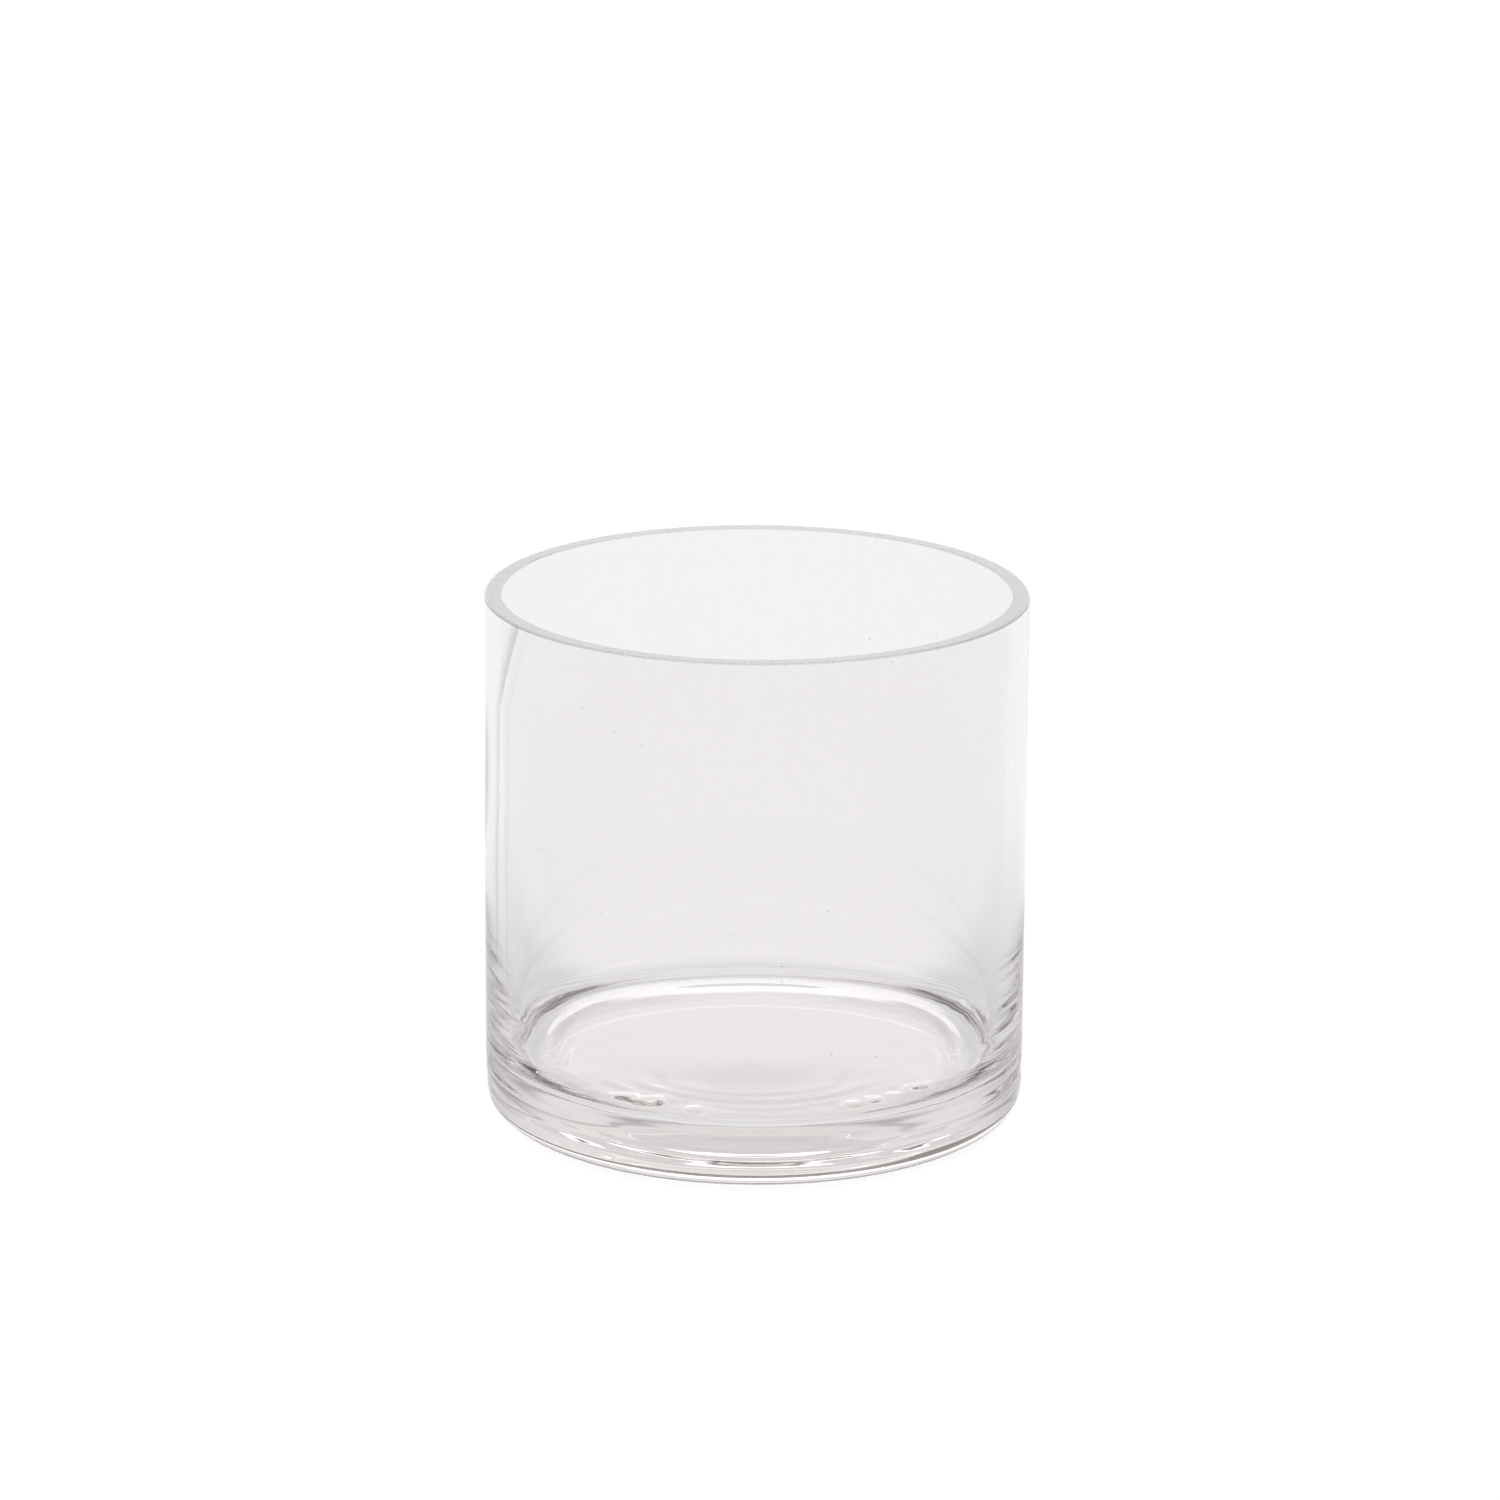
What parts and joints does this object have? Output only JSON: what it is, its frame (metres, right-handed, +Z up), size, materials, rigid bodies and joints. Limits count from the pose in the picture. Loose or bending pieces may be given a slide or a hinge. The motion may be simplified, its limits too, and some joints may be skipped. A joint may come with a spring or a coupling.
{
  "type": "glass cylinder vase",
  "caption": "Straight clear-glass cylinder vase with a flat ground rim, a thick base, a rounded heel and a wide inner fillet.",
  "frame": {"origin": "centre of the underside, on the plane that the vase stands on", "axes": "+Z up along the vase's axis; the vase is round, so X and Y are free"},
  "size_m": [0.15, 0.15, 0.148],
  "materials": {
    "clear_glass": "clear, smooth and glossy, with a satin ground rim"
  },
  "bodies": {
    "root": {"vase": "clear_glass"}
  },
  "joints": []
}
